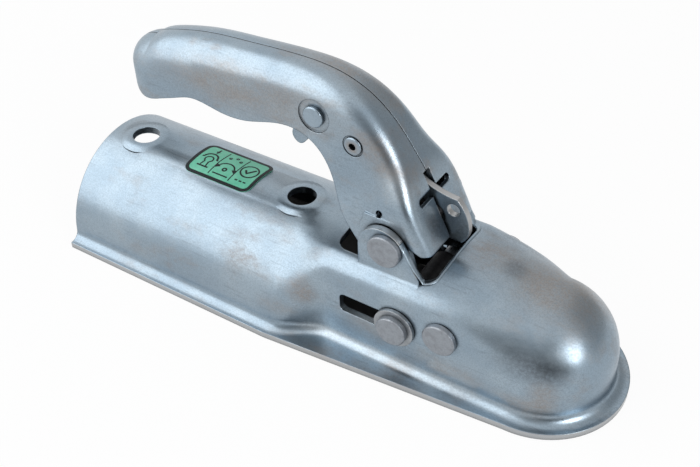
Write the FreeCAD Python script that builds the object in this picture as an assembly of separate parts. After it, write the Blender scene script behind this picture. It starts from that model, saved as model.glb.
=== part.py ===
"""Coupling head for a 750 kg trailer with a round drawbar, built from pressed steel sheet.

Everything is in millimetres. While it is built, x runs from the rear end of the head (x = 0) to
the nose, y is sideways with the middle of the head at y = 0, and z is up with the underside of
the flange at z = 0. At the end the whole head is moved back by half its length, so that the
origin is under its middle. Places of holes and pins are pairs of x and z. The handle and the
catch are drawn round the handle's pivot, so their outlines move with it.
"""

import FreeCAD, Part
import math
import os

from FreeCAD import Vector

# The mates that the head is made for
drawbar_radius = 35.0
drawbar_clearance = 0.6
ball_radius = 25.0
ball_clearance = 0.7
bolt_hole_radius = 6.25

# Pressed housing
sheet = 2.9
tube_length = 110.0
neck_length = 24.0
tube_axis_z = 4.2
ball_x = 215.3
ball_z = 14.0
box_top = 45.6
box_crown = 110.0
wall_half_width = 29.0
shoulder_radius = 10.0
foot_radius = 4.5
rear_flange_rim = 0.4
nose_flange_rim = 1.5
box_end = 178.0
nose_lead = 0.8
nose_crown = 41.0
nose_shoulder_inset = 1.1
bolt_hole_rear = 15.85
bolt_hole_front = 102.5
pad_radius = 10.5
pad_rise = 0.15
pad_slope = 0.9

# Window in the top and the ears turned up beside it
window_rear = 132.5
window_front = 176.4
window_corner = 5.0
ear_inset = 6.0
ear_radius = 10.2
ear_offset = (-2.2, -1.8)
ear_front_length = 16.7
ear_bend_radius = 3.0
ear_root = 1.3
ear_foot_drop = 0.5
ear_bend_cover = 0.1

# Handle, its pivot pin and its rivets, with places counted from the pivot
handle_pivot = (157.5, 55.2)
handle_sheet = 2.2
handle_side_gap = 0.4
grip_half_width = 13.0
grip_corner = 11.5
front_corner = 5.0
seam_gap = 0.15
catch_pivot_offset = (-19.8, 34.4)
stop_rivet_offset = (-37.2, 41.4)
rivet_radius = 2.5
rivet_wall = 1.0
stop_head_radius = 4.4
stop_head_height = 1.7
catch_head_radius = 3.8
catch_head_height = 1.0
catch_seat_radius = 4.5
rivet_dish_radius = 7.0
rivet_dish_depth = 0.5
drain_hole_offset = (-5.3, 12.0)
drain_hole_radius = 1.5
cross_slot_offset = (8.5, 16.5)
cross_slot_half_length = 11.0
cross_slot_height = 3.5
front_slope = 24.0
fin_slot_rear = -7.5
fin_slot_rise = 7.5
pivot_pin_radius = 5.0
pin_head_radius = 7.0
pin_head_height = 2.4
head_edge = 0.4
head_gap = 0.1
end_gap = 0.1
running_clearance = 0.05
tight_clearance = 0.02
spacer_wall = 2.0
spacer_gap = 0.3

# Safety catch: a plate in the middle plane that swings on the catch rivet
catch_thickness = 2.6
catch_side_gap = 0.9
catch_pin_clearance = 0.6
catch_stop_clearance = 0.4
catch_swing = 14.0
padlock_hole_offset = (16.8, 11.0)
padlock_hole_radius = 2.8
catch_spring_wire = 1.0
catch_spring_turns = 3
catch_spring_gap = 0.2
catch_coil_overlap = 0.05

# Slide pin in the side slots
slide_place = (165.6, 24.1)
slide_pin_radius = 4.3
slide_travel = 20.9
slide_head_radius = 6.5
slide_head_height = 2.6
slot_clearance = 0.25
slot_spare = 0.5
slot_rear_corner = 2.5
fork_clearance = 0.5
fork_wall = 3.2
washer_radius = 8.7
washer_thickness = 1.6
washer_gap = 0.3
roller_radius = 6.3
roller_half_width = 13.0

# Ball jaw and its pin
jaw_place = (185.4, 27.9)
jaw_pin_radius = 5.0
jaw_half_width = 14.0
jaw_eye_radius = 9.0
jaw_ball_gap = 0.4
jaw_bottom = 1.6
jaw_tip_depth = 10.0
jaw_roller_gap = 0.3
bush_wall = 2.5

# Closing springs
spring_wire = 1.2
spring_radius = 2.1
spring_turns = 9
spring_eye_gap = 0.1
coil_overlap = 0.3

# Instruction label on the tube
label_start = 45.0
label_end = 80.5
label_arc_low = -15.2
label_arc_high = 18.0
label_thickness = 0.2
label_corner = 4.0

# In the round sections, in degrees: where crown and shoulder meet, and the share of the wall
circle_split = 66.0
wall_share = 10.0

# How late each size changes between two forms of the sheet (top, crown, shoulder, half width)
neck_delays = (1.0, 1.0, 1.0, 1.0)
hood_delays = (1.6, 0.6, 3.0, 1.0)

# How far a cutting tool runs past what it cuts, and how far two parts of one solid overlap
overrun = 5.0
overlap = 1.0

# What follows from the sizes above
tube_radius = drawbar_radius + drawbar_clearance + sheet
tube_top = tube_axis_z + tube_radius
dome_radius = ball_radius + ball_clearance + sheet
dome_top = ball_z + dome_radius
nose_x = ball_x + nose_lead
nose_shoulder = dome_radius - nose_shoulder_inset
rear_flange_half_width = tube_radius + foot_radius + rear_flange_rim
nose_flange_radius = dome_radius + foot_radius + nose_flange_rim
housing_length = nose_x + nose_flange_radius
ear_half_width = wall_half_width - ear_inset
window_half_width = ear_half_width - sheet
arm_half_width = window_half_width - handle_side_gap
arm_inner = arm_half_width - handle_sheet
box_start = tube_length + neck_length
ear_centre = (handle_pivot[0] + ear_offset[0], handle_pivot[1] + ear_offset[1])


def from_pivot(offset):
    return (handle_pivot[0] + offset[0], handle_pivot[1] + offset[1])


catch_pivot = from_pivot(catch_pivot_offset)
stop_rivet = from_pivot(stop_rivet_offset)


# Small helpers


def arc(start, middle, end):
    return Part.Arc(Vector(*start), Vector(*middle), Vector(*end)).toShape()


def line(start, end):
    return Part.LineSegment(Vector(*start), Vector(*end)).toShape()


def wire(edges):
    return Part.Wire(Part.__sortEdges__(edges))


def cross_pin(place, radius, y_low, y_high):
    """Round bar across the head, along y."""
    return Part.makeCylinder(radius, y_high - y_low, Vector(place[0], y_low, place[1]), Vector(0, 1, 0))


def cross_ring(place, inner, outer, y_low, y_high):
    return cross_pin(place, outer, y_low, y_high).cut(cross_pin(place, inner, y_low - 1, y_high + 1))


def side_plate(edges, y_low, y_high):
    """Flat plate cut to an outline in the x z plane, between two planes of y."""
    face = Part.Face(wire(edges))
    face.translate(Vector(0, y_low, 0))
    return face.extrude(Vector(0, y_high - y_low, 0))


def straight_runs(points):
    """Edges in the x z plane from one point to the next."""
    corners = [Vector(x, 0, z) for x, z in points]
    return [Part.LineSegment(a, b).toShape() for a, b in zip(corners, corners[1:])]


def smooth(points):
    """One curve in the x z plane through a few points."""
    curve = Part.BSplineCurve()
    curve.interpolate([Vector(x, 0, z) for x, z in points])
    return curve


def edges_along(shape, axis):
    """Straight edges of a block that run along an axis."""
    return [edge for edge in shape.Edges if abs(edge.tangentAt(edge.FirstParameter).dot(axis)) > 0.99]


def mirrored(shape):
    return shape.mirror(Vector(0, 0, 0), Vector(0, 1, 0))


def at_pivot(shape):
    shape.translate(Vector(handle_pivot[0], 0, handle_pivot[1]))
    return shape


# Housing: one pressed sheet, half round over the drawbar, box shaped at the handle, domed at the nose


def half_profile(top, crown, shoulder, half_width, inset):
    """Points of one face of the sheet, from the top of the arch down to the flange.

    The face is the outer one at inset 0 and the inner one at inset sheet. Where the shoulder is as
    round as the crown, the arch is one circle. A shoulder that ends below the top of the foot runs
    straight into it, and any other stands on an upright wall.
    """
    crown_radius = crown - inset
    bend_radius = shoulder - inset
    centre_z = top - crown
    side = half_width - shoulder
    shoulder_z = centre_z + math.sqrt(max(0.0, (crown - shoulder) ** 2 - side ** 2))
    split = circle_split
    if shoulder < crown:
        split = math.degrees(math.atan2(shoulder_z - centre_z, side))
    foot = foot_radius + inset
    flange_z = sheet - inset
    foot_z = flange_z + foot
    rise = foot_z - shoulder_z

    def on_crown(degrees):
        angle = math.radians(degrees)
        return (crown_radius * math.cos(angle), centre_z + crown_radius * math.sin(angle))

    def on_shoulder(degrees):
        angle = math.radians(degrees)
        return (side + bend_radius * math.cos(angle), shoulder_z + bend_radius * math.sin(angle))

    if rise > 0:
        foot_y = side + math.sqrt((bend_radius + foot) ** 2 - rise ** 2)
        turn = math.degrees(math.atan2(rise, foot_y - side))
        low = turn + wall_share
    else:
        foot_y = half_width - inset + foot
        turn = 0.0
        low = 0.0

    def on_foot(degrees):
        angle = math.radians(degrees)
        return (foot_y + foot * math.cos(angle), foot_z + foot * math.sin(angle))

    points = {
        "top": (0.0, centre_z + crown_radius),
        "crown_middle": on_crown((90.0 + split) / 2),
        "crown_end": on_crown(split),
        "shoulder_middle": on_shoulder((split + low) / 2),
        "wall_top": on_shoulder(low),
        "foot_start": on_foot(180.0 + turn),
        "foot_middle": on_foot((450.0 + turn) / 2),
        "foot_end": (foot_y, flange_z),
    }
    if rise > 0:
        points["wall_middle"] = on_shoulder((low + turn) / 2)
    return points


def sheet_wire(place, top, crown, shoulder, half_width, flange_half_width):
    """Closed section of the sheet across the head at one place along x."""
    outer = half_profile(top, crown, shoulder, half_width, 0.0)
    inner = half_profile(top, crown, shoulder, half_width, sheet)
    edges = []
    for side in (1, -1):

        def at(points, name):
            y, z = points[name]
            return (place, side * y, z)

        for points in (outer, inner):
            edges.append(arc(at(points, "top"), at(points, "crown_middle"), at(points, "crown_end")))
            edges.append(arc(at(points, "crown_end"), at(points, "shoulder_middle"), at(points, "wall_top")))
            if "wall_middle" in points:
                edges.append(arc(at(points, "wall_top"), at(points, "wall_middle"), at(points, "foot_start")))
            else:
                edges.append(line(at(points, "wall_top"), at(points, "foot_start")))
            edges.append(arc(at(points, "foot_start"), at(points, "foot_middle"), at(points, "foot_end")))
        rim_top = (place, side * flange_half_width, sheet)
        rim_bottom = (place, side * flange_half_width, 0)
        edges.append(line(at(outer, "foot_end"), rim_top))
        edges.append(line(rim_top, rim_bottom))
        edges.append(line(rim_bottom, at(inner, "foot_end")))
    return wire(edges)


def flange_at(place):
    """Half width of the flange, which tapers straight from the end of the tube to the nose."""
    share = max(0.0, (place - tube_length) / (nose_x - tube_length))
    return rear_flange_half_width + share * (nose_flange_radius - rear_flange_half_width)


def section_at(place, top, crown, shoulder, half_width):
    return sheet_wire(place, top, crown, shoulder, half_width, flange_at(place))


def eased(share):
    """Share of a change that starts and ends gently."""
    return share * share * (3.0 - 2.0 * share)


def blended(start, end, start_form, end_form, delays, steps=6):
    """Sections that change gently from one form (top, crown, shoulder, half width) to another.

    A delay over 1 makes that size change late, and one under 1 early.
    """
    sections = []
    for step in range(steps + 1):
        share = step / steps
        eases = [eased(share ** delay) for delay in delays]
        top, bend, shoulder, half_width = [
            first + ease * (last - first)
            for first, last, ease in zip(with_bend(start_form), with_bend(end_form), eases)
        ]
        sections.append(section_at(start + share * (end - start), top, 1.0 / bend, shoulder, half_width))
    return sections


def with_bend(form):
    """The form with the bend of its crown, one over its radius, in place of the radius."""
    top, crown, shoulder, half_width = form
    return (top, 1.0 / crown, shoulder, half_width)


def housing_body():
    """The pressed shape before anything is cut out of it."""
    tube_form = (tube_top, tube_radius, tube_radius, tube_radius)
    box_form = (box_top, box_crown, shoulder_radius, wall_half_width)
    nose_form = (dome_top, nose_crown, nose_shoulder, dome_radius)
    tube = Part.Face(section_at(0.0, *tube_form)).extrude(Vector(tube_length, 0, 0))
    neck = Part.makeLoft(blended(tube_length, box_start, tube_form, box_form, neck_delays), True, False)
    box = Part.makeLoft([section_at(box_start, *box_form), section_at(box_end, *box_form)], True, True)
    hood = Part.makeLoft(blended(box_end, nose_x, box_form, nose_form, hood_delays), True, False)
    width = nose_flange_radius + overrun
    height = dome_top + 2 * overrun
    right_half = Part.makeBox(2 * overrun, width, height, Vector(nose_x - overrun, 0, -overrun))
    nose_section = Part.Face(section_at(nose_x, *nose_form)).common(right_half)
    nose = nose_section.revolve(Vector(nose_x, 0, 0), Vector(0, 0, 1), -180)
    return tube.fuse([neck, box, hood, nose])


def bolt_pad(place):
    """Flat round pad pressed up round a bolt hole."""
    top = tube_top + pad_rise
    height = sheet / 2
    base = Vector(place, 0, top - height)
    pad = Part.makeCone(pad_radius + pad_slope * height, pad_radius, height, base)
    start = Vector(place - 2 * pad_radius, 0, tube_axis_z)
    bore = Part.makeCylinder(tube_radius - sheet, 4 * pad_radius, start, Vector(1, 0, 0))
    return pad.cut(bore)


def window():
    """Opening in the top, between the ears, that the handle drops into."""
    length = window_front - window_rear
    depth = 3 * overrun
    corner = Vector(window_rear, -window_half_width, box_top - depth)
    block = Part.makeBox(length, 2 * window_half_width, 2 * depth, corner)
    return block.makeFillet(window_corner, edges_along(block, Vector(0, 0, 1)))


def ear():
    """Left lug turned up from the edge of the window, with the bend at its foot."""
    x, z = ear_centre
    low = box_top - box_crown + math.sqrt(box_crown ** 2 - ear_half_width ** 2) - ear_root
    rear = x - ear_radius
    foot = (x + ear_front_length, box_top - ear_foot_drop)
    reach = math.hypot(foot[0] - x, foot[1] - z)
    slope = math.atan2(foot[1] - z, foot[0] - x) + math.acos(ear_radius / reach)
    tangent = (x + ear_radius * math.cos(slope), z + ear_radius * math.sin(slope))
    crown = (math.pi + slope) / 2
    top = (x + ear_radius * math.cos(crown), z + ear_radius * math.sin(crown))
    outline = [arc((rear, 0, z), (top[0], 0, top[1]), (tangent[0], 0, tangent[1]))]
    outline += straight_runs([tangent, foot, (foot[0], low), (rear, low), (rear, z)])
    lug = side_plate(outline, -ear_half_width, -window_half_width)
    return lug.fuse(ear_bend(rear, foot[0]))


def ear_bend(rear, front):
    """Fillet between the outer face of an ear and the rounded shoulder below it."""
    side = wall_half_width - shoulder_radius
    shoulder_z = box_top - box_crown + math.sqrt((box_crown - shoulder_radius) ** 2 - side ** 2)
    centre_y = ear_half_width + ear_bend_radius
    reach = shoulder_radius + ear_bend_radius
    centre_z = shoulder_z + math.sqrt(reach ** 2 - (centre_y - side) ** 2)
    end_angle = math.atan2(shoulder_z - centre_z, side - centre_y)
    middle_angle = (end_angle - math.pi) / 2
    sunk = ear_bend_radius + ear_bend_cover

    def at(angle):
        return (rear, -centre_y - sunk * math.cos(angle), centre_z + sunk * math.sin(angle))

    inside = (rear, -ear_half_width + overlap, centre_z)
    bottom = (rear, -ear_half_width + overlap, centre_z - ear_bend_radius - overlap)
    edges = [
        arc(at(math.pi), at(middle_angle), at(end_angle)),
        line(at(end_angle), bottom),
        line(bottom, inside),
        line(inside, at(math.pi)),
    ]
    return Part.Face(wire(edges)).extrude(Vector(front - rear, 0, 0))


def side_slot():
    """Slot in both walls for the slide pin, round at its front and nearly square at its rear."""
    half_height = slide_pin_radius + slot_clearance
    front = slide_place[0] + half_height
    rear = slide_place[0] - slide_travel - half_height - slot_spare
    side = wall_half_width + overrun
    low = Vector(rear, -side, slide_place[1] - half_height)
    block = Part.makeBox(front - half_height - rear, 2 * side, 2 * half_height, low)
    rear_edges = [edge for edge in edges_along(block, Vector(0, 1, 0)) if edge.CenterOfMass.x < rear + 1]
    rounded = block.makeFillet(slot_rear_corner, rear_edges)
    return rounded.fuse(cross_pin(slide_place, half_height, -side, side))


def housing_shell():
    shell = housing_body()
    holes = (bolt_hole_rear, bolt_hole_front)
    shell = shell.fuse([bolt_pad(place) for place in holes])
    left_ear = ear()
    shell = shell.cut(window()).fuse([left_ear, mirrored(left_ear)])
    side = wall_half_width + overrun
    tools = [
        cross_pin(handle_pivot, pivot_pin_radius + running_clearance, -side, side),
        cross_pin(jaw_place, jaw_pin_radius + tight_clearance, -side, side),
        side_slot(),
    ]
    depth = 3 * overrun
    for place in holes:
        tools.append(Part.makeCylinder(bolt_hole_radius, 2 * depth, Vector(place, 0, tube_top - depth)))
    return shell.cut(tools).removeSplitter()


def instruction_label():
    """Thin bent label on the crown of the tube."""
    length = label_end - label_start
    along = Vector(1, 0, 0)
    start = Vector(label_start, 0, tube_axis_z)
    outer = Part.makeCylinder(tube_radius + label_thickness, length, start, along)
    inner = Part.makeCylinder(tube_radius, length + 2 * overrun, start - along * overrun, along)
    low = tube_radius * math.sin(math.radians(label_arc_low))
    high = tube_radius * math.sin(math.radians(label_arc_high))
    corner = Vector(label_start, low, tube_axis_z + tube_radius / 2)
    block = Part.makeBox(length, high - low, tube_radius, corner)
    block = block.makeFillet(label_corner, edges_along(block, Vector(0, 0, 1)))
    return outer.cut(inner).common(block)


# Handle: two pressed half shells that meet in a seam on the middle plane

# Seam line from the grip to the front, from the pivot: x, z, half width, corner radius, depth of the side
handle_stations = [
    (-122.3, 45.2, grip_half_width, grip_corner, 26.0),
    (-112.5, 50.2, grip_half_width, grip_corner, 29.0),
    (-97.5, 53.4, grip_half_width, grip_corner, 30.0),
    (-75.5, 55.4, grip_half_width, grip_corner, 30.0),
    (-49.5, 56.7, grip_half_width, grip_corner - 0.5, 31.0),
    (-33.5, 55.4, grip_half_width + 0.2, grip_corner - 1.0, 32.0),
    (-20.0, 50.4, grip_half_width + 0.4, grip_corner - 2.0, 33.0),
    (-8.2, 40.7, grip_half_width + 0.6, grip_corner - 3.5, 34.0),
    (-1.0, 31.1, arm_half_width - 4.9, front_corner + 2.0, 34.0),
    (3.7, 24.0, arm_half_width - 2.4, front_corner + 1.0, 34.0),
    (7.1, 17.5, arm_half_width - 0.7, front_corner + 0.3, 34.0),
    (11.8, 7.6, arm_half_width, front_corner, 34.0),
    (16.9, -3.7, arm_half_width, front_corner, 34.0),
    (21.9, -14.8, arm_half_width, front_corner, 34.0),
]

# Lower edge of the handle from the rear of the grip to the back of the arm, from the pivot
handle_under = [
    (-138.5, 37.0), (-135.3, 31.0), (-131.5, 25.4), (-127.0, 22.2), (-122.0, 21.4), (-115.5, 23.3),
    (-107.0, 26.4), (-98.1, 29.2), (-83.6, 27.5), (-70.5, 27.8), (-54.5, 32.2), (-44.2, 32.1),
    (-36.1, 27.7), (-30.6, 19.8), (-26.7, 11.4), (-20.3, 3.0), (-13.0, -6.7),
]

# Lower edge of the front of the handle, from the middle of the arm to the front face
front_under = [(6.0, -6.7), (7.7, 1.3), (10.1, 0.4), (12.9, -1.1), (22.5, -2.6), (42.5, -2.6)]


def handle_section(origin, inward, half_width, corner, depth):
    """Closed section of one half shell, square to the seam line: top, corner and side wall."""

    def at(y, down):
        return origin + inward * down + Vector(0, y, 0)

    edges = [
        Part.LineSegment(at(-seam_gap, 0), at(-seam_gap, handle_sheet)).toShape(),
        Part.LineSegment(at(-half_width, depth), at(handle_sheet - half_width, depth)).toShape(),
    ]
    for inset in (0.0, handle_sheet):
        side = inset - half_width
        radius = corner - inset
        slant = radius * (1 - math.sqrt(0.5))
        edges.append(Part.LineSegment(at(-seam_gap, inset), at(side + radius, inset)).toShape())
        bend = Part.Arc(at(side + radius, inset), at(side + slant, inset + slant), at(side, inset + radius))
        edges.append(bend.toShape())
        edges.append(Part.LineSegment(at(side, inset + radius), at(side, depth)).toShape())
    return wire(edges)


def handle_skin():
    """Left half of the handle before its lower edge is trimmed: the long shell and its round rear end.

    The rear end is round about an upright line, so the first section stands upright. The others are
    square to the seam line.
    """
    seam = smooth([(x, z) for x, z, half_width, corner, depth in handle_stations])
    sections = []
    for x, z, half_width, corner, depth in handle_stations:
        inward = Vector(0, 0, -1)
        if sections:
            along = seam.tangent(seam.parameter(Vector(x, 0, z)))[0]
            inward = Vector(along.z, 0, -along.x)
        sections.append(handle_section(Vector(x, 0, z), inward, half_width, corner, depth))
    body = Part.makeLoft(sections, True, False)
    rear = seam.value(seam.FirstParameter)
    cap = Part.Face(sections[0]).revolve(rear + Vector(0, -seam_gap, 0), Vector(0, 0, -1), 90)
    return body.fuse(cap)


def handle_trim():
    """Everything above the lower edge of the handle, seen from the side."""
    high = 90.0
    corners = [handle_under[-1]] + front_under
    corners += [(front_under[-1][0], high), (handle_under[0][0], high), handle_under[0]]
    return side_plate([smooth(handle_under).toShape()] + straight_runs(corners), -2 * arm_half_width, 0)


def handle_arm():
    """Flat arm of a half shell, from the side of the handle down to the fork round the slide pin."""
    x = slide_place[0] - handle_pivot[0]
    z = slide_place[1] - handle_pivot[1]
    half = slide_pin_radius + fork_clearance + fork_wall
    corners = [
        (-16.0, -1.2), handle_under[-1], (x - half - 1.5, z + 16.0), (x - half, z - 5.0),
        (x + half - 1.0, z - 5.0), (x + half, z + 4.0), (10.0, -4.7), (7.7, 2.3), (2.5, 10.8), (-11.5, 10.8),
        (-16.0, -1.2),
    ]
    inset = 0.1
    return side_plate(straight_runs(corners), inset - arm_half_width, -arm_inner - inset)


def fork_slot():
    """Open slot at the lower end of an arm that straddles the slide pin."""
    x = slide_place[0] - handle_pivot[0]
    z = slide_place[1] - handle_pivot[1]
    half = slide_pin_radius + fork_clearance
    reach = math.hypot(x, z)
    lift = half + overlap
    depth = 40.0
    corner = Vector(-half, -2 * arm_half_width, lift - reach - depth)
    slot = Part.makeBox(2 * half, 2 * arm_half_width, depth, corner)
    slot.rotate(Vector(0, 0, 0), Vector(0, 1, 0), -math.degrees(math.atan2(x, -z)))
    return slot


def cross_slot():
    """Slot across the front of both half shells, over the fin."""
    length = 2 * cross_slot_half_length
    depth = 30.0
    corner = Vector(-depth / 2, -cross_slot_half_length, -cross_slot_height / 2)
    block = Part.makeBox(depth, length, cross_slot_height, corner)
    slot = block.makeFillet(cross_slot_height / 2 - 0.05, edges_along(block, Vector(1, 0, 0)))
    slot.rotate(Vector(0, 0, 0), Vector(0, 1, 0), -front_slope)
    slot.translate(Vector(cross_slot_offset[0], 0, cross_slot_offset[1]))
    return slot


def handle_half():
    """Left half shell, with its rivet holes, dish, cross slot and the fork round the slide pin."""
    shell = handle_skin().common(handle_trim()).fuse(handle_arm())
    side = -2 * arm_half_width
    fin_half = catch_thickness / 2 + catch_side_gap
    fin_top = cross_slot_offset[1] + fin_slot_rise
    depth = 4 * overrun
    tools = [
        cross_pin((0, 0), pivot_pin_radius + tight_clearance, side, 0),
        cross_pin(catch_pivot_offset, rivet_radius + tight_clearance, side, 0),
        cross_pin(stop_rivet_offset, rivet_radius + tight_clearance, side, 0),
        cross_pin(drain_hole_offset, drain_hole_radius, side, 0),
        cross_pin(stop_rivet_offset, rivet_dish_radius, side, rivet_dish_depth - grip_half_width),
        cross_pin(catch_pivot_offset, catch_seat_radius, side, -grip_half_width),
        fork_slot(),
        cross_slot(),
        Part.makeBox(2 * depth, fin_half + 1, fin_top + depth, Vector(fin_slot_rear, -fin_half, -depth)),
    ]
    return at_pivot(shell.cut(tools))


# Safety catch: a flat plate between the half shells, with the trigger at its rear and a fin at its front

catch_upper = [(-45.5, 42.8), (-36.5, 47.8), (-22.5, 45.2), (-9.5, 34.2), (-1.5, 23.8), (5.5, 19.0),
               (11.5, 17.0), (18.1, 16.2)]
catch_fin = [(18.1, 16.2), (21.8, 11.2), (23.6, 5.0), (23.1, -0.2), (20.7, -3.3)]
catch_under = [(20.7, -3.3), (13.7, -3.0), (9.0, 10.8), (2.5, 11.8), (-7.5, 22.8), (-25.5, 29.3),
               (-42.5, 31.8)]
catch_trigger = [(-45.5, 42.8), (-50.0, 34.8), (-54.9, 24.8), (-56.5, 19.3), (-53.5, 16.4), (-49.9, 18.8),
                 (-47.0, 26.8), (-42.5, 31.8)]


def swing_slot(offset, half):
    """Curved slot in the catch that gives way to a pin of the handle while the catch swings."""
    dx = offset[0] - catch_pivot_offset[0]
    dz = offset[1] - catch_pivot_offset[1]
    reach = math.hypot(dx, dz)
    begin = math.atan2(dz, dx)
    end = begin + math.radians(catch_swing)

    def at(radius, angle):
        x = catch_pivot_offset[0] + radius * math.cos(angle)
        return (x, 0, catch_pivot_offset[1] + radius * math.sin(angle))

    edges = []
    for radius in (reach - half, reach + half):
        edges.append(arc(at(radius, begin), at(radius, (begin + end) / 2), at(radius, end)))
    for angle in (begin, end):
        edges.append(line(at(reach - half, angle), at(reach + half, angle)))
    slot = side_plate(edges, -catch_thickness, catch_thickness)
    ends = []
    for angle in (begin, end):
        x, y, z = at(reach, angle)
        ends.append(cross_pin((x, z), half, -catch_thickness, catch_thickness))
    return slot.fuse(ends)


def safety_catch():
    outline = [smooth(catch_upper).toShape(), smooth(catch_fin).toShape(), smooth(catch_trigger).toShape()]
    outline += straight_runs(catch_under)
    plate = side_plate(outline, -catch_thickness / 2, catch_thickness / 2)
    tools = [
        cross_pin(catch_pivot_offset, rivet_radius + running_clearance, -catch_thickness, catch_thickness),
        cross_pin(padlock_hole_offset, padlock_hole_radius, -catch_thickness, catch_thickness),
        swing_slot(stop_rivet_offset, rivet_radius + catch_stop_clearance),
        swing_slot((0, 0), pivot_pin_radius + catch_pin_clearance),
    ]
    return at_pivot(plate.cut(tools))


# Pins, rivets, washers, spacers and the roller


def pin_head(place, radius, seat, height, side):
    """Flat round head with a broken edge, standing on its seat at one side of the head."""
    start = Vector(place[0], side * seat, place[1])
    out = Vector(0, side, 0)
    flat = height - head_edge
    disc = Part.makeCylinder(radius, flat, start, out)
    edge = Part.makeCone(radius, radius - head_edge, head_edge, start + out * flat, out)
    return disc.fuse(edge)


def headed_pin(place, radius, seat, head_radius, head_height):
    """Pin riveted over at both ends."""
    end = seat + overlap / 2
    pin = cross_pin(place, radius, -end, end)
    return pin.fuse([pin_head(place, head_radius, seat, head_height, side) for side in (-1, 1)])


def hollow_rivet(place, seat):
    """Tubular rivet rolled over at both ends."""
    bore = rivet_radius - rivet_wall
    end = seat + overlap / 2
    rivet = cross_ring(place, bore, rivet_radius, -end, end)
    far = seat + overrun
    for side in (-1, 1):
        head = pin_head(place, catch_head_radius, seat, catch_head_height, side)
        rivet = rivet.fuse(head.cut(cross_pin(place, bore, -far, far)))
    return rivet


# Ball jaw: a rocking block that closes behind the ball


def ball_jaw():
    """Eye on the jaw pin, a ball shaped face in front and a flat heel that the roller blocks."""
    x, z = jaw_place
    heel = slide_place[0] + roller_radius + jaw_roller_gap
    tip = ball_x - jaw_tip_depth
    outline = [
        (x + 6.0, z + 6.0), (tip, ball_z), (tip, jaw_bottom), (x + 0.6, jaw_bottom), (x - 7.0, z - 16.0),
        (heel, slide_place[1] - 9.0), (heel, slide_place[1] + 2.5), (x - 7.0, z + 5.5), (x + 6.0, z + 6.0),
    ]
    body = side_plate(straight_runs(outline), -jaw_half_width, jaw_half_width)
    eye = cross_pin(jaw_place, jaw_eye_radius, -jaw_half_width, jaw_half_width)
    ball = Part.makeSphere(ball_radius + jaw_ball_gap, Vector(ball_x, 0, ball_z))
    side = jaw_half_width + overrun
    bore = cross_pin(jaw_place, jaw_pin_radius + running_clearance, -side, side)
    return body.fuse(eye).cut([ball, bore])


# Springs, close wound from round wire


def wire_ring(centre, axis, radius, wire_radius):
    """One turn of wire with six sides."""
    side = axis.cross(Vector(0, 1, 0))
    if side.Length < 0.1:
        side = axis.cross(Vector(1, 0, 0))
    side.normalize()
    corners = []
    for step in range(7):
        angle = math.radians(60 * step + 30)
        outward = side * (radius + wire_radius * math.cos(angle))
        corners.append(centre + outward + axis * (wire_radius * math.sin(angle)))
    return Part.Face(Part.makePolygon(corners)).revolve(centre, axis, 360)


def closing_spring(side):
    """Tension spring hooked over the slide pin and the jaw pin."""
    y = side * (arm_half_width + wall_half_width - sheet) / 2
    start = Vector(slide_place[0], y, slide_place[1])
    end = Vector(jaw_place[0], y, jaw_place[1])
    along = (end - start).normalize()
    across = Vector(0, 1, 0)
    half_wire = spring_wire / 2
    first_eye = slide_pin_radius + spring_eye_gap + half_wire
    second_eye = jaw_pin_radius + spring_eye_gap + half_wire
    spring = wire_ring(start, across, first_eye, half_wire)
    spring = spring.fuse(wire_ring(end, across, second_eye, half_wire))
    coil_start = start + along * (first_eye - coil_overlap)
    coil_end = end - along * (second_eye - coil_overlap)
    step = (coil_end - coil_start) * (1.0 / spring_turns)
    turns = [wire_ring(coil_start + step * (number + 0.5), along, spring_radius, half_wire)
             for number in range(spring_turns)]
    return spring.fuse(turns)


def catch_spring():
    """Torsion spring round the catch rivet, beside the catch."""
    half_wire = catch_spring_wire / 2
    radius = rivet_radius + catch_spring_gap + half_wire
    x, z = catch_pivot
    first = catch_thickness / 2 + catch_side_gap + half_wire
    spring = None
    for number in range(catch_spring_turns):
        y = first + number * (1 - catch_coil_overlap) * catch_spring_wire
        turn = wire_ring(Vector(x, y, z), Vector(0, 1, 0), radius, half_wire)
        spring = turn if spring is None else spring.fuse(turn)
    return spring


# Every piece under its name, and at last all of them moved and written


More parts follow.
